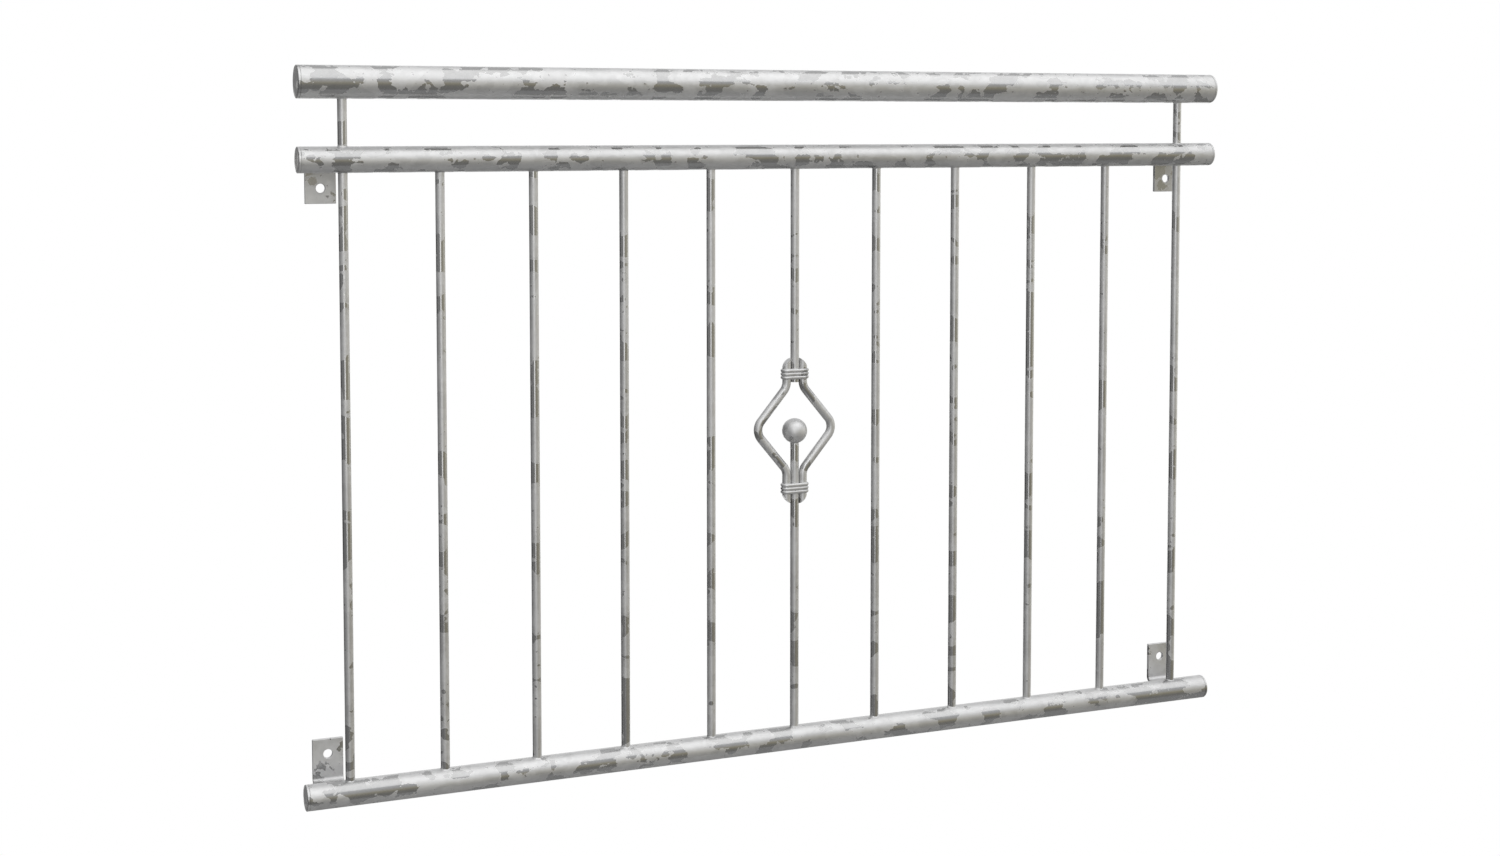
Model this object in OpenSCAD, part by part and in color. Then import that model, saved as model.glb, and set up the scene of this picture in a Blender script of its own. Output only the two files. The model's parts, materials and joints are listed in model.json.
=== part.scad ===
// Juliet balcony: a low guard for a full height window, made of round galvanised steel.
// Three closed tubes run across, upright bars stand between the lower two, and four bent
// straps carry the guard off the wall. The middle bar holds a diamond of two bent rods
// around a ball. Millimetres, X along the rails, Y towards the wall, Z up.

/* [Rails] */
// Outer diameter of the handrail tube
handrail_d = 42.4; // [36:0.1:60]
// Wall of the handrail tube
handrail_wall = 2.6; // [1.6:0.1:4]
// Outer diameter of the top and bottom rail tubes
rail_d = 33.7; // [26:0.1:42]
// Wall of the top and bottom rail tubes
rail_wall = 2.6; // [1.6:0.1:4]
// Top rail's axis above the bottom rail's axis
top_rail_rise = 815; // [600:1:1000]
// Handrail's axis above the top rail's axis
handrail_rise = 98; // [70:1:160]
// How far every tube runs on past the axis of the end bar, with its cap
rail_overhang = 57.5; // [45:0.5:90]

/* [End caps] */
// Thickness of the flat plate that closes a tube
cap_t = 3; // [2:0.5:6]
// Width of the open seam between tube and cap
seam_w = 1.4; // [0.6:0.1:2]
// Depth of that seam
seam_depth = 0.7; // [0.3:0.1:1.2]

/* [Bars] */
// Diameter of every upright bar
bar_d = 12; // [8:0.5:16]
// Distance between bars, axis to axis
bar_pitch = 125; // [100:1:140]
// Number of bars on either side of the middle one
bars_per_side = 5; // [2:1:8]

/* [Ornament] */
// Diameter of the ball
ball_d = 35; // [24:0.5:44]
// Centre of the ball above the bottom rail's axis
ball_rise = 434; // [250:1:480]
// How deep the bar below stands in the ball
ball_socket = 12; // [4:0.5:16]
// Diameter of the two bent rods
rod_d = 12; // [8:0.5:14]
// Clearance between a rod's straight ends and the middle bar
rod_clearance = 0.2; // [0:0.1:1]
// Middle bar's axis to the sharp corner of a rod's centre line
diamond_reach = 61; // [52:0.5:75]
// Half the height of the diamond, between sharp corners of the centre line
diamond_rise = 58.6; // [48:0.1:62]
// Centre of the diamond above the ball's centre
diamond_lift = 3.4; // [0:0.1:5]
// Bend radius of a rod at the side of the diamond, at its centre line
side_bend_r = 19; // [14:0.5:24]
// Bend radius of a rod at the foot and the head of the diamond
neck_bend_r = 20; // [14:0.5:22]
// Ball's centre to the middle of a collar, up and down
collar_reach = 80; // [77:0.5:84]
// How far the rods' straight ends run on past a collar
rod_tail = 14.8; // [9:0.1:38]
// How far past the bar's axis the arch that shapes a rod's end has its centre
arch_past = 11.4; // [0:0.1:20]
// Height of one ridge of a collar
ridge_h = 5; // [3:0.25:6]
// Number of ridges on a collar
ridge_count = 3; // [1:1:3]
// How far the ridges stand out from the rods
ridge_stand = 2; // [1.2:0.1:3]
// Thickness of a collar between its ridges
collar_band = 0.9; // [0.5:0.1:1.1]
// How far the upper bar runs out below the upper collar
bar_tip = 4; // [0:0.5:8]

/* [Brackets] */
// Distance from the rails' axis back to the wall
wall_gap = 59; // [45:0.5:90]
// Width of a strap
strap_w = 40; // [25:0.5:50]
// Thickness of a strap
strap_t = 5; // [3:0.5:8]
// Bend radius inside a strap
strap_bend_r = 5; // [3:0.5:10]
// Length of the leg against the wall, with its bend
strap_leg = 60; // [50:0.5:90]
// Diameter of the bolt hole
bolt_hole_d = 12; // [8:0.5:16]
// Axis of the bolt hole to the strap's free end
bolt_hole_edge = 20; // [14:0.5:24]
// Middle of a strap outboard of the end bar's axis
strap_outset = 18; // [0:0.5:22]

/* [Hidden] */
$fn = 96;

// The named point of the part lies on the lower left strap's wall face, below its hole
datum_below_hole = 17.5;

// How much wider an arch would grow than both rods together, on each side
arch_spare = 3.1;

// Reach of a cutting block past what it cuts
past = 1;

mm_per_m = 1000;

middle_bar = bars_per_side + 1;
bar_count = 2 * bars_per_side + 1;
side_bars = [for (n = [1:bar_count]) if (n != middle_bar) n];
end_bar_x = bars_per_side * bar_pitch;
rail_half = end_bar_x + rail_overhang;
tube_half = rail_half - cap_t;

bottom_z = 0;
top_z = bottom_z + top_rail_rise;
handrail_z = top_z + handrail_rise;

ball_z = bottom_z + ball_rise;
diamond_z = ball_z + diamond_lift;
rod_x = bar_d / 2 + rod_clearance + rod_d / 2;
leg_angle = atan2(diamond_reach - rod_x, diamond_rise);
leg_length = norm([diamond_reach - rod_x, diamond_rise]);
neck_tangent = neck_bend_r * tan(leg_angle / 2);
side_tangent = side_bend_r * tan(leg_angle);
leg_straight = leg_length - neck_tangent - side_tangent;
collar_h = ridge_count * ridge_h;
rod_reach = collar_reach + collar_h / 2 + rod_tail;
rod_foot_z = ball_z - rod_reach;
rod_head_z = ball_z + rod_reach;
foot_straight = diamond_z - diamond_rise - neck_tangent - rod_foot_z;
head_straight = rod_head_z - diamond_z - diamond_rise - neck_tangent;
arch_r = rod_x + rod_d / 2 + arch_past + arch_spare;
arch_drop = sqrt(pow(arch_r, 2) - pow(bar_d / 2 + arch_past, 2));

collar_bore_r = max(bar_d, rod_d) / 2;
collar_end_x = rod_x + rod_d / 2 - collar_bore_r;

strap_x = end_bar_x + strap_outset;
strap_outer_r = strap_bend_r + strap_t;
hole_from_rail = strap_leg - strap_t / 2 - bolt_hole_edge;
datum = [-strap_x, wall_gap, bottom_z + hole_from_rail - datum_below_hole];

steel = [0.72, 0.73, 0.72];
pale_steel = [0.78, 0.79, 0.78];
dark_steel = [0.55, 0.56, 0.54];

function bar_name(n) = str("bar_", n < 10 ? "0" : "", n);
function bar_x(n) = (n - middle_bar) * bar_pitch;

// Moves a piece from the guard's own centre to the datum on the wall face
module placed() {
    translate(-datum) children();
}

// Round length of stock along X, used to cut a bar's or a strap's end to the tube
module tube_outside(d, z) {
    translate([-rail_half, 0, z]) rotate([0, 90, 0]) cylinder(d = d, h = 2 * rail_half);
}

// Hollow tube along X with both outer edges bevelled for the cap's seam
module tube(d, wall, z) {
    outer = d / 2;
    inner = outer - wall;
    len = 2 * tube_half;
    bevel = seam_w / 2;
    color(steel) placed() translate([-tube_half, 0, z]) rotate([0, 90, 0]) rotate_extrude() polygon([
        [inner, 0],
        [outer - seam_depth, 0],
        [outer, bevel],
        [outer, len - bevel],
        [outer - seam_depth, len],
        [inner, len]
    ]);
}

// Flat end plate of a tube, side -1 on the left and 1 on the right
module tube_cap(d, z, side) {
    outer = d / 2;
    color(pale_steel) placed() translate([side * tube_half, 0, z]) rotate([0, side * 90, 0])
        rotate_extrude() polygon([
            [0, 0],
            [outer - seam_depth, 0],
            [outer, seam_w / 2],
            [outer, cap_t],
            [0, cap_t]
        ]);
}

module handrail_tube() {
    tube(handrail_d, handrail_wall, handrail_z);
}

module handrail_cap(side) {
    tube_cap(handrail_d, handrail_z, side);
}

module top_rail_tube() {
    tube(rail_d, rail_wall, top_z);
}

module top_rail_cap(side) {
    tube_cap(rail_d, top_z, side);
}

module bottom_rail_tube() {
    tube(rail_d, rail_wall, bottom_z);
}

module bottom_rail_cap(side) {
    tube_cap(rail_d, bottom_z, side);
}

// Upright round stock between two heights
module upright(x, low, high) {
    translate([x, 0, low]) cylinder(d = bar_d, h = high - low);
}

// Short bar that carries the handrail above an end bar
module riser(side) {
    color(steel) placed() difference() {
        upright(side * end_bar_x, top_z, handrail_z);
        tube_outside(rail_d, top_z);
        tube_outside(handrail_d, handrail_z);
    }
}

// Bar from the bottom rail to the top rail, its ends shaped to the tubes
module bar(n) {
    color(steel) placed() difference() {
        upright(bar_x(n), bottom_z, top_z);
        tube_outside(rail_d, bottom_z);
        tube_outside(rail_d, top_z);
    }
}

// Middle bar above the ornament, ending just below the upper collar
module center_bar_upper() {
    color(steel) placed() difference() {
        upright(0, ball_z + collar_reach - collar_h / 2 - bar_tip, top_z);
        tube_outside(rail_d, top_z);
    }
}

// Middle bar below the ornament, which carries the ball on its end
module center_bar_lower() {
    color(steel) placed() difference() {
        upright(0, bottom_z, ball_z - ball_d / 2 + ball_socket);
        tube_outside(rail_d, bottom_z);
    }
}

module ball() {
    color(pale_steel) placed() difference() {
        translate([0, 0, ball_z]) sphere(d = ball_d);
        upright(0, ball_z - ball_d, ball_z - ball_d / 2 + ball_socket);
    }
}

// The rod's stretches are laid end to end in metres, small enough to join without a seam
module in_metres() {
    scale(mm_per_m) children();
}

// Straight stretch of rod along Z, with what follows on its end
module rod_straight(length) {
    h = length / mm_per_m;
    cylinder(d = rod_d / mm_per_m, h = h);
    translate([0, 0, h]) children();
}

// Bend of the rod from Z towards X, with what follows on its end
module rod_bend(bend_r, angle) {
    r = bend_r / mm_per_m;
    translate([r, 0, 0]) rotate([90, 0, 180]) rotate_extrude(angle = angle)
        translate([r, 0]) circle(d = rod_d / mm_per_m);
    translate([r * (1 - cos(angle)), 0, r * sin(angle)]) rotate([0, angle, 0]) children();
}

// One whole rod, bent out and back in, before its ends are shaped
module bent_rod() {
    translate([rod_x, 0, rod_foot_z]) in_metres() rod_straight(foot_straight)
        rod_bend(neck_bend_r, leg_angle) rod_straight(leg_straight)
        mirror([1, 0, 0]) rod_bend(side_bend_r, 2 * leg_angle) rod_straight(leg_straight)
        mirror([1, 0, 0]) rod_bend(neck_bend_r, leg_angle) rod_straight(head_straight);
}

// What is cut off a rod's end so that both rods finish in one pointed arch against the bar
module arch_offcut(end) {
    translate([0, 0, ball_z]) mirror([0, 0, end < 0 ? 1 : 0])
        translate([0, 0, rod_reach - arch_drop]) difference() {
            translate([0, -rod_d, 0]) cube([arch_r + past, 2 * rod_d, arch_drop + past]);
            translate([-arch_past, rod_d + past, 0]) rotate([90, 0, 0])
                cylinder(r = arch_r, h = 2 * (rod_d + past));
        }
}

// Bent rod of the diamond, side -1 on the left and 1 on the right
module ornament_rod(side) {
    color(steel) placed() mirror([side < 0 ? 1 : 0, 0, 0]) difference() {
        bent_rod();
        arch_offcut(-1);
        arch_offcut(1);
    }
}

// Section of a collar: a thin band with half round ridges, from its bore outwards
module collar_section() {
    ridge_r = ridge_h / 2;
    difference() {
        union() {
            square([collar_bore_r + collar_band, collar_h]);
            for (n = [0:ridge_count - 1])
                translate([collar_bore_r + ridge_stand - ridge_r, (n + 0.5) * ridge_h]) circle(r = ridge_r);
        }
        translate([-past, -past]) square([collar_bore_r + past, collar_h + 2 * past]);
    }
}

// Collar around the bar and both rods: two round ends joined by two straight sides
module collar(middle_z) {
    color(pale_steel) placed() translate([0, 0, middle_z - collar_h / 2]) {
        for (side = [-1, 1]) {
            translate([side * collar_end_x, 0, 0]) rotate([0, 0, -side * 90])
                rotate_extrude(angle = 180) collar_section();
            translate([-collar_end_x, 0, 0]) mirror([0, side < 0 ? 1 : 0, 0]) rotate([90, 0, 90])
                linear_extrude(2 * collar_end_x) collar_section();
        }
    }
}

// Rectangle with its lower right corner rounded
module rounded_corner(width, height, r) {
    square([width - r, height]);
    translate([0, r]) square([width, height - r]);
    translate([width - r, r]) circle(r = r);
}

// Side view of a strap, from the rail's axis back to the wall and up along it
module strap_section() {
    translate([0, -strap_t / 2]) difference() {
        rounded_corner(wall_gap, strap_leg, strap_outer_r);
        translate([-past, strap_t])
            rounded_corner(wall_gap - strap_t + past, strap_leg + past, strap_bend_r);
    }
}

// Bent strap on a rail, side -1 left or 1 right, its wall leg up (1) or down (-1)
module strap(side, z, leg) {
    color(dark_steel) placed() difference() {
        translate([side * strap_x, 0, z]) mirror([0, 0, leg < 0 ? 1 : 0]) difference() {
            translate([-strap_w / 2, 0, 0]) rotate([90, 0, 90]) linear_extrude(strap_w) strap_section();
            translate([0, wall_gap + past, hole_from_rail]) rotate([90, 0, 0])
                cylinder(d = bolt_hole_d, h = strap_t + 2 * past);
        }
        tube_outside(rail_d, z);
    }
}

module bracket_upper(side) {
    strap(side, top_z, -1);
}

module bracket_lower(side) {
    strap(side, bottom_z, 1);
}

handrail_tube();
handrail_cap(-1);  // handrail_cap_left
handrail_cap(1);  // handrail_cap_right
top_rail_tube();
top_rail_cap(-1);  // top_rail_cap_left
top_rail_cap(1);  // top_rail_cap_right
bottom_rail_tube();
bottom_rail_cap(-1);  // bottom_rail_cap_left
bottom_rail_cap(1);  // bottom_rail_cap_right
riser(-1);  // riser_left
riser(1);  // riser_right
for (n = side_bars) bar(n);
center_bar_upper();
center_bar_lower();
ball();
ornament_rod(-1);  // ornament_rod_left
ornament_rod(1);  // ornament_rod_right
collar(ball_z + collar_reach);  // collar_upper
collar(ball_z - collar_reach);  // collar_lower
bracket_upper(-1);  // bracket_upper_left
bracket_upper(1);  // bracket_upper_right
bracket_lower(-1);  // bracket_lower_left
bracket_lower(1);  // bracket_lower_right
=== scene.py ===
import json
import math
import bpy
from mathutils import Matrix, Vector


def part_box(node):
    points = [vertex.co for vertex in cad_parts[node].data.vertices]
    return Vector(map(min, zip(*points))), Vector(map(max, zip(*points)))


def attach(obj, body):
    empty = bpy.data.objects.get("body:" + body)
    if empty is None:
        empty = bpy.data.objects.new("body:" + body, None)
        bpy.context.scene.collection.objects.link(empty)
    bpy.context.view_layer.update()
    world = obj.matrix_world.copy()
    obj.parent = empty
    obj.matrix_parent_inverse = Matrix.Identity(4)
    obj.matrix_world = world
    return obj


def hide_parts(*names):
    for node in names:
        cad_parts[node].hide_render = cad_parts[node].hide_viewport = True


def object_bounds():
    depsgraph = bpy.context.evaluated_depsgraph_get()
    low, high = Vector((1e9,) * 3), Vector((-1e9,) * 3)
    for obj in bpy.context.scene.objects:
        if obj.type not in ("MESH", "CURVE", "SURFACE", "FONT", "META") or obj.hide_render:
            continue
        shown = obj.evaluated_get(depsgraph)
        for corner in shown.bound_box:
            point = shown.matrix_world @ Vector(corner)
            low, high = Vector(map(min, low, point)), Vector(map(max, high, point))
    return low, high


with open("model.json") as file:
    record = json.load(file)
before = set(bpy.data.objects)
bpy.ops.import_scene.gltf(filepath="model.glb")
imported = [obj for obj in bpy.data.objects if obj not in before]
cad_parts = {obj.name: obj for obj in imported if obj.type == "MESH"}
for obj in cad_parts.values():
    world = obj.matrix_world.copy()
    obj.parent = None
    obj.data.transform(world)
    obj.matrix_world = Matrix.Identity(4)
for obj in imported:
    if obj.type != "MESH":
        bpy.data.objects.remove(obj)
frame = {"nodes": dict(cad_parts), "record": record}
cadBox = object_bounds()
cadNodes = frame["nodes"]
print("frame loaded:", len(cadNodes), "pieces")

mm = 0.001
mergeWithin = 0.02 * mm  # points nearer to each other than this become one


# small helpers to pick, shape, copy and join pieces

def pickOnly(piece):
    bpy.ops.object.select_all(action="DESELECT")
    piece.select_set(True)
    bpy.context.view_layer.objects.active = piece


def startEdit(kind="VERT"):
    bpy.ops.object.mode_set(mode="EDIT")
    bpy.ops.mesh.select_mode(type=kind)


def endEdit():
    bpy.ops.object.mode_set(mode="OBJECT")


def pickVerts(piece, test):
    # the piece is in object mode, and startEdit then finds just these selected
    pickOnly(piece)
    for polygon in piece.data.polygons:
        polygon.select = False
    for edge in piece.data.edges:
        edge.select = False
    for vertex in piece.data.vertices:
        vertex.select = test(vertex.co)


def pickEdges(piece, test):
    pickVerts(piece, lambda spot: False)
    for edge in piece.data.edges:
        ends = [piece.data.vertices[index].co for index in edge.vertices]
        edge.select = test((ends[0] + ends[1]) / 2)


def pickFaces(piece, test):
    pickOnly(piece)
    startEdit("FACE")
    bpy.ops.mesh.select_all(action="DESELECT")
    endEdit()
    for polygon in piece.data.polygons:
        polygon.select = test(polygon)


def newPiece(name, adder, **settings):
    bpy.ops.object.select_all(action="DESELECT")
    adder(**settings)
    piece = bpy.context.object
    piece.name = piece.data.name = name
    return piece


def settle(piece):
    # place, turn and size go into the mesh, so the object sits at the origin like the CAD nodes
    pickOnly(piece)
    bpy.ops.object.transform_apply(location=True, rotation=True, scale=True)
    return piece


def applyModifier(piece, kind, **settings):
    pickOnly(piece)
    modifier = piece.modifiers.new(kind.lower(), kind)
    for key, value in settings.items():
        setattr(modifier, key, value)
    bpy.ops.object.modifier_apply(modifier=modifier.name)


def cleanUp(piece):
    pickOnly(piece)
    startEdit()
    bpy.ops.mesh.select_all(action="SELECT")
    bpy.ops.mesh.remove_doubles(threshold=mergeWithin)
    bpy.ops.mesh.normals_make_consistent(inside=False)
    endEdit()


def copyOf(piece, name, move=(0, 0, 0), turn=None):
    twin = piece.copy()
    twin.data = piece.data.copy()
    twin.name = twin.data.name = name
    bpy.context.scene.collection.objects.link(twin)
    if turn:
        twin.data.transform(turn)
    twin.data.transform(Matrix.Translation(Vector(move)))
    return twin


def joinPieces(parts, name):
    bpy.ops.object.select_all(action="DESELECT")
    for part in parts:
        part.select_set(True)
    bpy.context.view_layer.objects.active = parts[0]
    bpy.ops.object.join()
    whole = bpy.context.object
    whole.name = whole.data.name = name
    return whole


def smoothOver(piece, degrees):
    pickOnly(piece)
    bpy.ops.object.shade_smooth_by_angle(angle=math.radians(degrees))


def middleOf(node):
    low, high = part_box(node)
    return (low + high) / 2


def halfOf(node):
    low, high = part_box(node)
    return (high - low) / 2


def nameAfter(start, node):
    # strap and bracket_lower_left give strapLowerLeft
    return start + "".join(word.capitalize() for word in node.split("_")[1:])


# camera: matched to the rails, bars and tube ends of the photograph

cameraPlace = {
    "location": (-0.4999, -2.6424, 0.8378),
    "pitch": -3.626,  # degrees, less than 0 looks down
    "yaw": 22.605,  # degrees, to the right
    "lens": 49.03,
    "sensor": 36.0,
    "shiftUp": -0.1152,
}


def addCamera(place):
    data = bpy.data.cameras.new("camera")
    data.lens = place["lens"]
    data.sensor_width = place["sensor"]
    data.shift_y = place["shiftUp"]
    camera = bpy.data.objects.new("camera", data)
    camera.location = place["location"]
    pitch, yaw = math.radians(90 + place["pitch"]), math.radians(place["yaw"])
    camera.rotation_euler = (pitch, 0, -yaw)
    bpy.context.scene.collection.objects.link(camera)
    bpy.context.scene.camera = camera


addCamera(cameraPlace)
print("camera set")


# galvanised steel: crisp islands of zinc crystal, the dark ones smoother than the rest

zincTones = {
    # colour and roughness of each tone
    "plain": (0.725, 0.49),
    "pale": (0.745, 0.57),
    "dull": (0.675, 0.46),
    "dark": (0.5, 0.21),
}

zincKinds = {
    # islands: how many to a metre
    # along: how they are drawn out, where less than 1 is longer
    # start: where in the endless pattern the finish begins
    # dark, dull, pale: the level that cuts each tone out of the pattern
    # ragged: how broken the rims of the dark islands are
    "galvanised_tube": {
        "islands": 42,
        "along": (0.72, 1, 1),
        "start": (6.48, 4.28, 5.45),
        "dark": 0.459,
        "dull": 0.455,
        "pale": 0.58,
        "ragged": 3.6,
    },
    "galvanised_bar": {
        "islands": 36,
        "along": (0.6, 0.6, 0.85),
        "start": (3.31, 4.19, 7.74),
        "dark": 0.445,
        "dull": 0.455,
        "pale": 0.57,
        "ragged": 2.2,
    },
    "galvanised_ornament": {
        "islands": 34,
        "along": (1, 1, 0.9),
        "start": (7.8, 7.0, 5.5),
        "dark": 0.44,
        "dull": 0.43,
        "pale": 0.55,
        "ragged": 3.6,
    },
    "galvanised_strap": {
        "islands": 28,
        "along": (1, 1, 1),
        "start": (7.6, 0.3, 5.4),
        "dark": 0.43,
        "dull": 0.49,
        "pale": 0.60,
        "ragged": 3.6,
    },
}

zincDetail = {
    # shared by the four finishes; a share is taken of the finish's own number of islands
    "rim": 0.55,  # strength of the noise's fine detail along the islands' rims
    "broad": {"shift": (3.7, 1.3, 5.1), "share": 0.6, "detail": 4.0},  # dull and pale islands
    "specks": {"share": 5.0, "detail": 2.0, "level": 0.29},  # small dark dots
    "crystals": {"share": 3.5, "tones": (0.975, 1.02)},  # each crystal's tone is times this
    "clouds": {"scale": 140, "detail": 3, "span": (0.3, 0.7), "tones": (0.97, 1.03)},
    "grain": {"scale": 420, "detail": 3, "roughness": 0.6},
    "waves": {"scale": 40, "detail": 1, "height": 3.0},  # height: as a multiple of the grain's
    "relief": {"strength": 0.04, "distance": 0.5 * mm},
    "metallic": 0.92,
}


def newMaterial(name):
    material = bpy.data.materials.new(name)
    material.use_nodes = True
    material.node_tree.nodes.clear()
    return material, material.node_tree


def addNode(tree, kind, inputs=None, **settings):
    node = tree.nodes.new(kind)
    for key, value in settings.items():
        setattr(node, key, value)
    for socket, value in (inputs or {}).items():
        if isinstance(value, bpy.types.NodeSocket):
            tree.links.new(value, node.inputs[socket])
        else:
            node.inputs[socket].default_value = value
    return node


def mathOf(tree, operation, *values):
    return addNode(tree, "ShaderNodeMath", dict(enumerate(values)), operation=operation).outputs[0]


def noiseOf(tree, vector, scale, detail, roughness=0.5):
    inputs = {"Vector": vector, "Scale": scale, "Detail": detail, "Roughness": roughness}
    return addNode(tree, "ShaderNodeTexNoise", inputs).outputs["Fac"]


def stretchOf(tree, value, span, target=(0.0, 1.0)):
    # the span from its low to its high end becomes the target
    inputs = {
        "Value": value,
        "From Min": span[0],
        "From Max": span[1],
        "To Min": target[0],
        "To Max": target[1],
    }
    return addNode(tree, "ShaderNodeMapRange", inputs).outputs[0]


def rampOf(tree, factor, stops, interpolation="LINEAR"):
    ramp = addNode(tree, "ShaderNodeValToRGB", {"Fac": factor})
    ramp.color_ramp.interpolation = interpolation
    elements = ramp.color_ramp.elements
    while len(elements) < len(stops):
        elements.new(0.5)
    for element, (position, colour) in zip(elements, stops):
        element.position = position
        element.color = colour
    return ramp.outputs["Color"]


def greyOf(value):
    return (value, value, value, 1)


def layerOver(tree, below, level, mask):
    # a grey laid over another where the mask is white
    inputs = {0: mask, 2: below, 3: level}
    return addNode(tree, "ShaderNodeMix", inputs, data_type="FLOAT").outputs[0]


def makeZinc(name, kind):
    broad, specks, crystals = zincDetail["broad"], zincDetail["specks"], zincDetail["crystals"]
    clouds, grain, waves = zincDetail["clouds"], zincDetail["grain"], zincDetail["waves"]
    material, tree = newMaterial(name + "_finish")
    place = addNode(tree, "ShaderNodeTexCoord").outputs["Object"]
    drawing = {"Vector": place, "Location": kind["start"], "Scale": kind["along"]}
    drawn = addNode(tree, "ShaderNodeMapping", drawing).outputs["Vector"]
    moving = {"Vector": drawn, "Location": broad["shift"]}
    moved = addNode(tree, "ShaderNodeMapping", moving).outputs["Vector"]

    def islandsAt(vector, share, detail):
        return noiseOf(tree, vector, kind["islands"] * share, detail, zincDetail["rim"])

    def cutAt(field, level, above):
        # white on one side of the level, black on the other, with no blur between
        stops = [(0.0, greyOf(0.0 if above else 1.0)), (level, greyOf(1.0 if above else 0.0))]
        return rampOf(tree, field, stops, "CONSTANT")

    wide = islandsAt(moved, broad["share"], broad["detail"])
    dull = cutAt(wide, kind["dull"], False)
    pale = cutAt(wide, kind["pale"], True)
    dark = cutAt(islandsAt(drawn, 1.0, kind["ragged"]), kind["dark"], False)
    dots = cutAt(islandsAt(drawn, specks["share"], specks["detail"]), specks["level"], False)
    # each tone goes over the last, for the colour and for the roughness alike
    tone, rough = zincTones["plain"]
    for which, mask in [("dull", dull), ("pale", pale), ("dark", dark), ("dark", dots)]:
        tone = layerOver(tree, tone, zincTones[which][0], mask)
        rough = layerOver(tree, rough, zincTones[which][1], mask)
    # single crystals, and a faint cloudiness over all
    packing = {"Vector": drawn, "Scale": kind["islands"] * crystals["share"]}
    cells = addNode(tree, "ShaderNodeTexVoronoi", packing).outputs["Color"]
    cell = addNode(tree, "ShaderNodeSeparateColor", {"Color": cells}).outputs["Red"]
    facet = stretchOf(tree, cell, (0.0, 1.0), crystals["tones"])
    cloud = noiseOf(tree, place, clouds["scale"], clouds["detail"])
    haze = stretchOf(tree, cloud, clouds["span"], clouds["tones"])
    tone = mathOf(tree, "MULTIPLY", mathOf(tree, "MULTIPLY", tone, facet), haze)
    grey = {"Red": tone, "Green": tone, "Blue": tone}
    colour = addNode(tree, "ShaderNodeCombineColor", grey).outputs["Color"]
    fine = noiseOf(tree, place, grain["scale"], grain["detail"], grain["roughness"])
    wave = noiseOf(tree, place, waves["scale"], waves["detail"])
    height = mathOf(tree, "MULTIPLY_ADD", wave, waves["height"], fine)
    relief = {
        "Height": height,
        "Strength": zincDetail["relief"]["strength"],
        "Distance": zincDetail["relief"]["distance"],
    }
    surface = {
        "Base Color": colour,
        "Roughness": rough,
        "Metallic": zincDetail["metallic"],
        "Normal": addNode(tree, "ShaderNodeBump", relief).outputs["Normal"],
    }
    shader = addNode(tree, "ShaderNodeBsdfPrincipled", surface).outputs["BSDF"]
    addNode(tree, "ShaderNodeOutputMaterial", {"Surface": shader})
    return material


finishes = {name: makeZinc(name, kind) for name, kind in zincKinds.items()}
print("zinc finishes made:", len(finishes))


def addToBalcony(piece, slotName, stands=()):
    # stands: the CAD nodes that the piece takes the place of
    piece.data.materials.clear()
    piece.data.materials.append(finishes[slotName])
    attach(piece, "root")
    if stands:
        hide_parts(*stands)


slotOfNode = {row["node"]: row["material_slot"] for row in frame["record"]["subparts"]}
for name, node in cadNodes.items():
    node.material_slots[0].material = finishes[slotOfNode[name]]
print("CAD nodes dressed")


# straps: flat bar bent to an L, drilled, with its edges softened by the zinc

strapShape = {
    "thick": 5 * mm,
    "bend": 5 * mm,  # inside radius
    "bendSteps": 10,
    "holeRadius": 6 * mm,
    "holeSides": 48,
    "holeFromEnd": 20 * mm,
    "edge": 0.7 * mm,  # how far the edges are softened
    "edgeSteps": 3,
    "intoRail": 2 * mm,  # how far the end reaches into its rail
    "smooth": 40,  # degrees, sharper corners stay sharp
}


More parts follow.
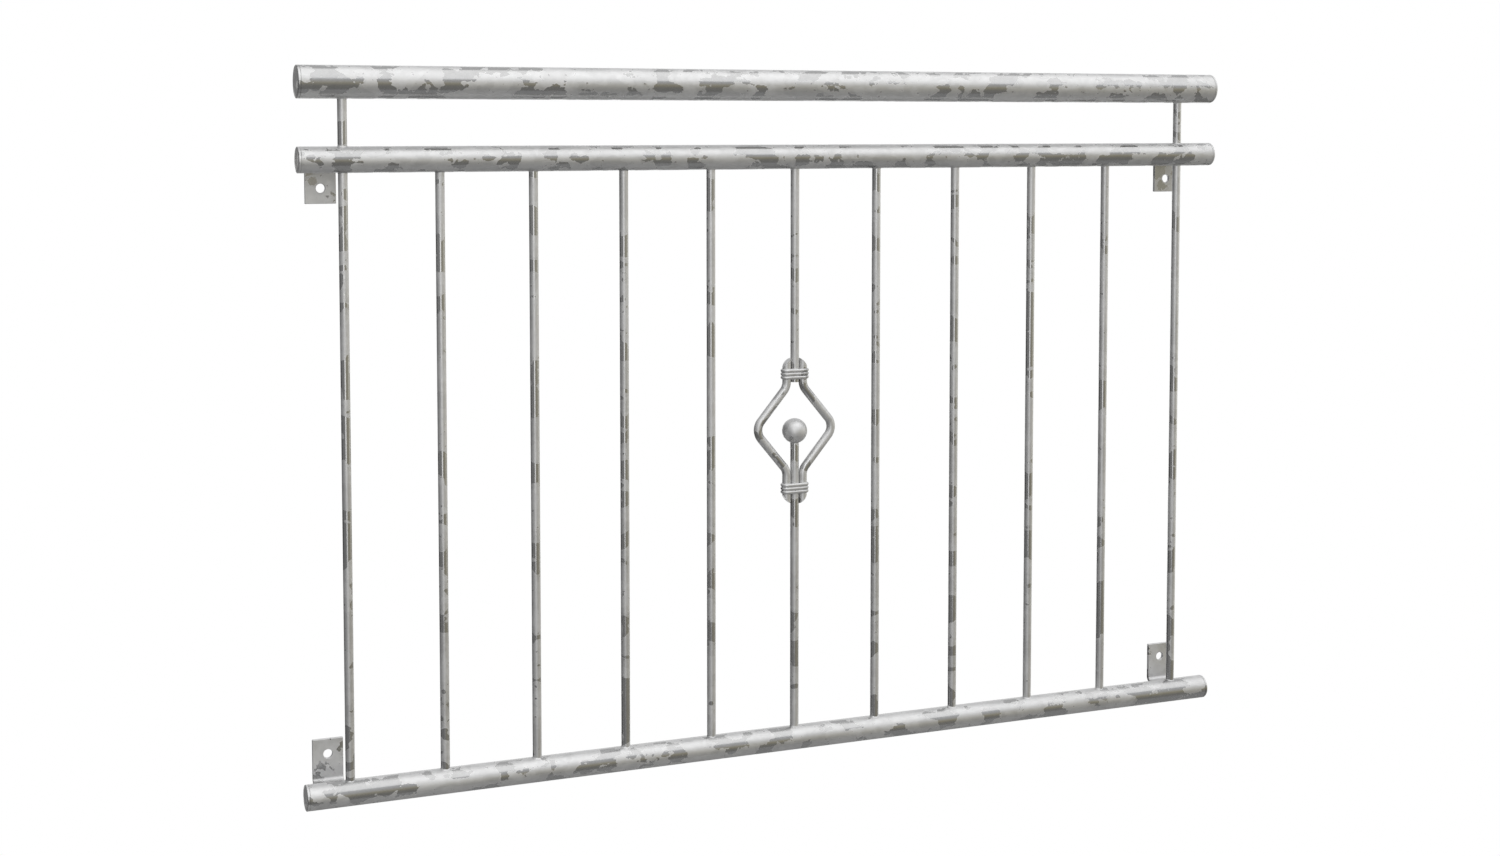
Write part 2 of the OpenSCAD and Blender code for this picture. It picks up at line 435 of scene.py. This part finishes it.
def makeStrap(shape):
    low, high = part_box("bracket_lower_left")
    width = high.x - low.x
    middleX = (low.x + high.x) / 2
    startY = low.y - shape["intoRail"]
    outer = shape["bend"] + shape["thick"]
    strap = newPiece(
        nameAfter("strap", "bracket_lower_left"),
        bpy.ops.mesh.primitive_plane_add,
        size=1,
        location=(middleX, startY, low.z + shape["thick"] / 2),
        rotation=(math.radians(90), 0, 0),
    )
    strap.scale = (width, shape["thick"], 1)
    settle(strap)
    startEdit("EDGE")
    bpy.ops.mesh.select_all(action="SELECT")
    bpy.ops.mesh.delete(type="ONLY_FACE")
    bpy.ops.mesh.select_all(action="SELECT")
    # out from the rail, round the bend and up along the wall
    bpy.ops.mesh.extrude_region_move(
        TRANSFORM_OT_translate={"value": (0, high.y - outer - startY, 0)}
    )
    bpy.ops.mesh.spin(
        steps=shape["bendSteps"],
        angle=math.radians(90),
        center=(middleX, high.y - outer, low.z + outer),
        axis=(-1, 0, 0),
    )
    bpy.ops.mesh.extrude_region_move(
        TRANSFORM_OT_translate={"value": (0, 0, high.z - low.z - outer)}
    )
    bpy.ops.mesh.select_all(action="SELECT")
    bpy.ops.mesh.fill_holes(sides=4)
    endEdit()
    cleanUp(strap)
    drill = newPiece(
        "strapDrill",
        bpy.ops.mesh.primitive_cylinder_add,
        vertices=shape["holeSides"],
        radius=shape["holeRadius"],
        depth=3 * shape["thick"],  # stands out on both sides
        location=(middleX, high.y - shape["thick"] / 2, high.z - shape["holeFromEnd"]),
        rotation=(math.radians(90), 0, 0),
    )
    applyModifier(strap, "BOOLEAN", operation="DIFFERENCE", object=drill, solver="EXACT")
    bpy.data.objects.remove(drill)
    applyModifier(
        strap,
        "BEVEL",
        width=shape["edge"],
        segments=shape["edgeSteps"],
        limit_method="ANGLE",
        angle_limit=math.radians(shape["smooth"]),
    )
    smoothOver(strap, shape["smooth"])
    applyModifier(strap, "WEIGHTED_NORMAL", weight=100, keep_sharp=True)
    return strap


lowerLeft, upperLeft = middleOf("bracket_lower_left"), middleOf("bracket_upper_left")
halfTurn = Matrix.Rotation(math.pi, 4, "Y")
upsideDown = Matrix.Translation(upperLeft) @ halfTurn @ Matrix.Translation(-lowerLeft)
straps = {"bracket_lower_left": makeStrap(strapShape)}
# the lower straps stand up from their rail, and the upper ones hang down from theirs
for node, start, turn in (
    ("bracket_lower_right", lowerLeft, None),
    ("bracket_upper_left", upperLeft, upsideDown),
    ("bracket_upper_right", upperLeft, upsideDown),
):
    move = middleOf(node) - start
    straps[node] = copyOf(straps["bracket_lower_left"], nameAfter("strap", node), move, turn)
for node, strap in straps.items():
    addToBalcony(strap, "galvanised_strap", [node])
print("straps modelled")


# collars: three turns of soft iron wire squeezed round the rods and the middle bar

collarShape = {
    "turns": 3,
    "standOut": 0.5 * mm,  # past the CAD collar's ends
    "endRadius": 6.0 * mm,  # from a rod's axis to the middle of the wire
    "wireDepth": 2.9 * mm,  # half of the wire's section, outwards
    "wireHeight": 2.7 * mm,  # half of the wire's section, upwards
    "uneven": 0.4 * mm,
    "swell": 26 * mm,  # size of one swell in the wire
    "sides": 18,
    "straightSteps": 10,
    "endSteps": 14,
    "smooth": 60,
}


def makeTurn(shape, node):
    # the wire's section is pulled along the front, spun about the right end, pulled back
    # behind and spun about the left end
    middle, half = middleOf(node), halfOf(node)
    run = half.x + shape["standOut"] - shape["endRadius"] - shape["wireDepth"]
    turn = newPiece(
        "collarTurn",
        bpy.ops.mesh.primitive_circle_add,
        vertices=shape["sides"],
        radius=shape["wireHeight"],
        location=(middle.x - run, middle.y - shape["endRadius"], middle.z),
        rotation=(0, math.radians(90), 0),
    )
    turn.scale = (1, shape["wireDepth"] / shape["wireHeight"], 1)
    settle(turn)
    startEdit()
    bpy.ops.mesh.select_all(action="SELECT")
    for way in (1, -1):
        pull = way * 2 * run / shape["straightSteps"]
        for step in range(shape["straightSteps"]):
            bpy.ops.mesh.extrude_region_move(TRANSFORM_OT_translate={"value": (pull, 0, 0)})
        bpy.ops.mesh.spin(
            steps=shape["endSteps"],
            angle=math.radians(180),
            center=(middle.x + way * run, middle.y, middle.z),
            axis=(0, 0, -1),
        )
    endEdit()
    cleanUp(turn)
    return turn


def makeCollar(shape, node, name):
    middle, half = middleOf(node), halfOf(node)
    pitch = 2 * (half.z - shape["wireHeight"]) / (shape["turns"] - 1)
    first = makeTurn(shape, node)
    turns = []
    for count in range(shape["turns"]):
        lift = (count - (shape["turns"] - 1) / 2) * pitch
        turns.append(copyOf(first, name + "Turn" + str(count), (0, 0, lift)))
    bpy.data.objects.remove(first)
    collar = joinPieces(turns, name)
    texture = bpy.data.textures.new(name + "Swell", "CLOUDS")
    texture.noise_scale = shape["swell"]
    applyModifier(
        collar,
        "DISPLACE",
        texture=texture,
        texture_coords="LOCAL",
        direction="Z",
        mid_level=0.5,
        strength=2 * shape["uneven"],
    )
    smoothOver(collar, shape["smooth"])
    return collar


for node, name in (("collar_upper", "collarUpper"), ("collar_lower", "collarLower")):
    addToBalcony(makeCollar(collarShape, node, name), "galvanised_ornament", [node])
print("collars modelled")


# welds: a saddle of weld metal where each upright stands on or hangs from a rail

weldShape = {
    "climb": 1.1 * mm,  # up the upright
    "spread": [1.05, 1.11, 1.16],  # how wide the bead is, as shares of the upright's radius
    "drop": [0.6 * mm, 0.4 * mm, 0.3 * mm],
    "inner": 0.9,  # where the bead closes inside the upright, as a share of the same radius
    "sides": 32,
    "ripple": 4 * mm,
    "rippleHeight": 0.3 * mm,
    "smooth": 75,
}


def makeSaddle(shape, uprightRadius, railRadius):
    # around an upright on the world's origin, where the crown of a rail along X passes
    saddle = newPiece(
        "weldSaddle",
        bpy.ops.mesh.primitive_circle_add,
        vertices=shape["sides"],
        radius=uprightRadius,
    )

    def fromCrown(spot):
        # how many millimetres beside the rail's crown a point lies, to four places
        return round(abs(spot.y) / mm, 4)

    # the ring sinks on to the rail's round, a row of points at a time
    for beside in sorted({fromCrown(vertex.co) for vertex in saddle.data.vertices}):
        sag = math.sqrt(railRadius**2 - (beside * mm) ** 2) - railRadius
        pickVerts(saddle, lambda spot: fromCrown(spot) == beside)
        startEdit()
        bpy.ops.transform.translate(value=(0, 0, sag))
        endEdit()
    startEdit()
    bpy.ops.mesh.select_all(action="SELECT")
    bpy.ops.transform.translate(value=(0, 0, shape["climb"]))
    height, width = shape["climb"], 1.0
    for spread, drop in zip(shape["spread"], shape["drop"]):
        grow = spread / width
        bpy.ops.mesh.extrude_region_move(TRANSFORM_OT_translate={"value": (0, 0, 0)})
        bpy.ops.transform.resize(value=(grow, grow, grow**2), center_override=(0, 0, height))
        bpy.ops.transform.translate(value=(0, 0, -drop))
        height, width = height - drop, spread
    # closed again inside the upright
    shrink = shape["inner"] / width
    bpy.ops.mesh.extrude_region_move(TRANSFORM_OT_translate={"value": (0, 0, 0)})
    bpy.ops.transform.resize(value=(shrink, shrink, 1), center_override=(0, 0, height))
    bpy.ops.mesh.select_all(action="DESELECT")
    bpy.ops.mesh.select_non_manifold()
    bpy.ops.mesh.bridge_edge_loops()
    endEdit()
    cleanUp(saddle)
    return saddle


uprights = ["bar_%02d" % count for count in range(1, 12) if count != 6]
flip = Matrix.Rotation(math.pi, 4, "X")
aboutFace = Matrix.Rotation(math.pi, 4, "Z")


def weldRow(shape, name, rail, nodes, above):
    # above: the uprights stand on this rail; otherwise they hang from it
    middle, radius = middleOf(rail), halfOf(rail).z
    saddle = makeSaddle(shape, halfOf(nodes[0]).x, radius)
    crown = middle.z + (radius if above else -radius)
    copies = []
    for count, node in enumerate(nodes):
        spot = (middleOf(node).x, middle.y, crown)
        turn = Matrix.Identity(4) if above else flip
        if count % 2 == int(above):
            turn = turn @ aboutFace  # every second weld faces the other way
        copies.append(copyOf(saddle, name + str(count), spot, turn))
    bpy.data.objects.remove(saddle)
    row = joinPieces(copies, name)
    texture = bpy.data.textures.new(name + "Ripple", "CLOUDS")
    texture.noise_scale = shape["ripple"]
    applyModifier(
        row,
        "DISPLACE",
        texture=texture,
        texture_coords="LOCAL",
        mid_level=0.5,
        strength=shape["rippleHeight"],
    )
    smoothOver(row, shape["smooth"])
    addToBalcony(row, "galvanised_tube")


standing, hanging = uprights + ["center_bar_lower"], uprights + ["center_bar_upper"]
risers = ["riser_left", "riser_right"]
weldRow(weldShape, "weldsBottomRail", "bottom_rail_tube", standing, True)
weldRow(weldShape, "weldsTopRailUnder", "top_rail_tube", hanging, False)
weldRow(weldShape, "weldsTopRailOver", "top_rail_tube", risers, True)
weldRow(weldShape, "weldsHandrail", "handrail_tube", risers, False)
print("upright welds modelled")


# end caps: round plates with a softened edge and a faint dish in the middle

capShape = {
    "sides": 96,
    "edge": 0.9 * mm,  # how far the rim is softened
    "edgeSteps": 4,
    "dish": 0.35 * mm,  # how deep the middle lies
    "dishRim": 0.45,  # width of the slope down to the middle, as a share of the cap's radius
    "smooth": 30,
}


def makeCap(shape, node):
    low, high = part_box(node)
    middle, half = (low + high) / 2, (high - low) / 2
    outward = 1 if node.endswith("right") else -1
    cap = newPiece(
        node + "_plate",
        bpy.ops.mesh.primitive_cylinder_add,
        vertices=shape["sides"],
        radius=half.z,
        depth=2 * half.x,
        location=middle,
        rotation=(0, math.radians(90), 0),
    )
    settle(cap)

    def pickOuterFace():
        # the face that looks out of the tube with the most area
        outer = max(cap.data.polygons, key=lambda face: face.area * face.normal.x * outward).index
        pickFaces(cap, lambda face: face.index == outer)

    pickOuterFace()
    startEdit("FACE")
    bpy.ops.mesh.bevel(offset=shape["edge"], segments=shape["edgeSteps"], affect="EDGES")
    endEdit()
    pickOuterFace()
    startEdit("FACE")
    bpy.ops.mesh.inset(thickness=half.z * shape["dishRim"])
    bpy.ops.transform.translate(value=(-outward * shape["dish"], 0, 0))
    endEdit()
    cleanUp(cap)
    smoothOver(cap, shape["smooth"])
    addToBalcony(cap, "galvanised_tube", [node])


for rail in ("handrail", "top_rail", "bottom_rail"):
    for side in ("left", "right"):
        makeCap(capShape, rail + "_cap_" + side)
print("end caps modelled")


# strap welds: a rippled bead along the top and the bottom of each strap's end

beadShape = {
    "radius": 2.3 * mm,
    "sides": 14,
    "ripples": 17,
    "pulse": 1.14,  # how much each ripple swells
    "tip": 0.5,  # thickness at both ends, as a share of the full radius
    "inset": 1.5 * mm,  # from the strap's edges
    "up": 0.35,  # away from the strap, as a share of the radius
    "out": 0.3,  # away from the rail, as a share of the radius
    "smooth": 60,
}


def makeBead(shape, length):
    # a rod of small overlapping pools, along X from the world's origin
    bead = newPiece(
        "weldBead",
        bpy.ops.mesh.primitive_circle_add,
        vertices=shape["sides"],
        radius=shape["radius"] * shape["tip"],
        location=(-length / 2, 0, 0),
        rotation=(0, math.radians(90), 0),
    )
    settle(bead)
    startEdit()
    bpy.ops.mesh.select_all(action="SELECT")
    bpy.ops.mesh.edge_face_add()
    step = length / (2 * shape["ripples"] + 2)
    swells = [1 / shape["tip"]] + [shape["pulse"], 1 / shape["pulse"]] * shape["ripples"]
    for swell in swells + [shape["tip"]]:
        bpy.ops.mesh.extrude_region_move(TRANSFORM_OT_translate={"value": (step, 0, 0)})
        bpy.ops.transform.resize(value=(1, swell, swell), center_override=(0, 0, 0))
    endEdit()
    cleanUp(bead)
    return bead


def weldStrap(shape, rail, node, strapThick):
    # the strap's leg meets the rail's back at the height of the rail's axis
    low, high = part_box(node)
    axis, radius = middleOf(rail), halfOf(rail).z
    bead = makeBead(shape, high.x - low.x - 2 * shape["inset"])
    rise = strapThick / 2 + shape["radius"] * shape["up"]
    back = axis.y + math.sqrt(radius**2 - rise**2) + shape["radius"] * shape["out"]
    across = (low.x + high.x) / 2
    name = nameAfter("weldBeads", node)
    pair = [
        copyOf(bead, name + "Top", (across, back, axis.z + rise)),
        copyOf(bead, name + "Under", (across, back, axis.z - rise), aboutFace),
    ]
    bpy.data.objects.remove(bead)
    beads = joinPieces(pair, name)
    smoothOver(beads, shape["smooth"])
    addToBalcony(beads, "galvanised_strap")


for height, rail in (("lower", "bottom_rail_tube"), ("upper", "top_rail_tube")):
    for side in ("left", "right"):
        weldStrap(beadShape, rail, "bracket_" + height + "_" + side, strapShape["thick"])
print("strap welds modelled")


# stage: grey floor with a white backdrop sweeping up behind it, lamps and a studio sky

stageLook = {
    "depth": 2.4,  # from the height where the frame's z is 0 down to the floor
    "floor": {
        "left": -2.2,
        "right": 3.6,
        "front": -2.4,
        "back": 4.0,
        "colour": (0.38, 0.38, 0.38, 1),
    },
    "sweep": {
        "left": -1.0,
        "right": 9.8,
        "run": 1.0,  # first stretch of paper, from the floor's back edge
        "back": 7.4,
        "height": 7.9,
        "curve": 1.4,
        "curveSteps": 16,
        "smooth": 60,
        "colour": (0.9, 0.9, 0.9, 1),
    },
}


def layPaper(name, left, right, front, back, depth):
    piece = newPiece(
        name,
        bpy.ops.mesh.primitive_plane_add,
        size=1,
        location=((left + right) / 2, (front + back) / 2, -depth),
    )
    piece.scale = (right - left, back - front, 1)
    return settle(piece)


def addFloor(look):
    floor = look["floor"]
    piece = layPaper(
        "studioFloor", floor["left"], floor["right"], floor["front"], floor["back"], look["depth"]
    )
    material, tree = newMaterial("studioFloorPaper")
    paper = addNode(tree, "ShaderNodeBsdfDiffuse", {"Color": floor["colour"]}).outputs["BSDF"]
    addNode(tree, "ShaderNodeOutputMaterial", {"Surface": paper})
    piece.data.materials.append(material)


def addSweep(look):
    sweep, start = look["sweep"], look["floor"]["back"]
    end = start + sweep["run"]
    piece = layPaper("studioSweep", sweep["left"], sweep["right"], start, end, look["depth"])
    pickEdges(piece, lambda middle: middle.y > end - 10 * mm)
    startEdit("EDGE")
    bend = sweep["back"] - sweep["curve"]
    bpy.ops.mesh.extrude_region_move(TRANSFORM_OT_translate={"value": (0, bend - end, 0)})
    bpy.ops.mesh.spin(
        steps=sweep["curveSteps"],
        angle=math.radians(90),
        center=(0, bend, sweep["curve"] - look["depth"]),
        axis=(-1, 0, 0),
    )
    rise = sweep["height"] - sweep["curve"]
    bpy.ops.mesh.extrude_region_move(TRANSFORM_OT_translate={"value": (0, 0, rise)})
    endEdit()
    cleanUp(piece)
    smoothOver(piece, sweep["smooth"])
    material, tree = newMaterial("studioBackdropPaper")
    paper = addNode(tree, "ShaderNodeBsdfDiffuse", {"Color": sweep["colour"]}).outputs["BSDF"]
    plain = {"Color": greyOf(1), "Strength": 1.0}
    white = addNode(tree, "ShaderNodeEmission", plain).outputs["Emission"]
    # the eye and reflections see plain white, and the paper lights the object as paper does
    rays = addNode(tree, "ShaderNodeLightPath").outputs
    seen = mathOf(tree, "MAXIMUM", rays["Is Camera Ray"], rays["Is Glossy Ray"])
    seen = mathOf(tree, "MAXIMUM", seen, rays["Is Transmission Ray"])
    mixed = addNode(tree, "ShaderNodeMixShader", {0: seen, 1: paper, 2: white}).outputs["Shader"]
    addNode(tree, "ShaderNodeOutputMaterial", {"Surface": mixed})
    piece.data.materials.append(material)


lamps = {
    # level: brightness of the lamp's own face, where 1 is white
    "overheadBox": {"from": (0.85, -2.00, 4.32), "size": (8.3, 6.2), "level": 0.745},
    "rightPanel": {"from": (4.2, -0.4, 0.6), "size": (2.2, 2.6), "level": 0.60},
    "cameraPanel": {"from": (-0.75, -3.6, 0.9), "size": (1.5, 3.0), "level": 1.35},
}


def addLamp(name, look, target):
    data = bpy.data.lights.new(name, "AREA")
    data.shape = "RECTANGLE"
    data.size, data.size_y = look["size"]
    data.energy = look["level"] * math.pi * data.size * data.size_y
    lamp = bpy.data.objects.new(name, data)
    lamp.location = look["from"]
    lamp.rotation_euler = (Vector(target) - lamp.location).to_track_quat("-Z", "Y").to_euler()
    bpy.context.scene.collection.objects.link(lamp)


skyBands = {
    # by how high a direction points, from straight down to straight up
    "cool": [
        (0.00, (0.20, 0.20, 0.20, 1)),
        (0.30, (0.22, 0.22, 0.22, 1)),
        (0.42, (0.32, 0.32, 0.32, 1)),
        (0.48, (0.42, 0.42, 0.42, 1)),
        (0.56, (0.50, 0.50, 0.50, 1)),
        (0.66, (0.60, 0.605, 0.615, 1)),
        (1.00, (0.72, 0.72, 0.72, 1)),
    ],
    "warm": [
        (0.00, (0.20, 0.20, 0.20, 1)),
        (0.30, (0.225, 0.22, 0.20, 1)),
        (0.42, (0.34, 0.31, 0.22, 1)),
        (0.48, (0.45, 0.425, 0.33, 1)),
        (0.56, (0.51, 0.50, 0.475, 1)),
        (0.66, (0.60, 0.606, 0.62, 1)),
        (1.00, (0.72, 0.72, 0.72, 1)),
    ],
}
# strength at the far left and right, and where along X the cool bands turn into the warm ones
skySides = {"strength": (0.70, 1.12), "warm": (-0.35, 0.25)}
# the unlit end of the studio, behind and to the left, darkens the left sides and the caps
darkEnd = {"towards": (-0.67, 0.74, 0.0), "edge": (0.80, 0.93), "share": 0.25}


def addSky():
    world = bpy.data.worlds.new("studioSky")
    bpy.context.scene.world = world
    world.use_nodes = True
    tree = world.node_tree
    tree.nodes.clear()
    direction = addNode(tree, "ShaderNodeTexCoord").outputs["Generated"]
    split = addNode(tree, "ShaderNodeSeparateXYZ", {"Vector": direction}).outputs
    height = stretchOf(tree, split["Z"], (-1.0, 1.0))
    cool = rampOf(tree, height, skyBands["cool"])
    warm = rampOf(tree, height, skyBands["warm"])
    blending = {0: stretchOf(tree, split["X"], skySides["warm"]), 6: cool, 7: warm}
    colour = addNode(tree, "ShaderNodeMix", blending, data_type="RGBA").outputs[2]
    side = stretchOf(tree, split["X"], (-1.0, 1.0), skySides["strength"])
    aim = {0: direction, 1: darkEnd["towards"]}
    facing = addNode(tree, "ShaderNodeVectorMath", aim, operation="DOT_PRODUCT").outputs["Value"]
    dimmer = stretchOf(tree, facing, darkEnd["edge"], (1.0, darkEnd["share"]))
    level = mathOf(tree, "MULTIPLY", side, dimmer)
    light = addNode(tree, "ShaderNodeBackground", {"Color": colour, "Strength": level})
    addNode(tree, "ShaderNodeOutputWorld", {"Surface": light.outputs["Background"]})


addFloor(stageLook)
addSweep(stageLook)
centre = (cadBox[0] + cadBox[1]) / 2
for name, look in lamps.items():
    addLamp(name, look, centre)
addSky()
bpy.context.scene.view_settings.view_transform = "Standard"
print("stage and lamps set")
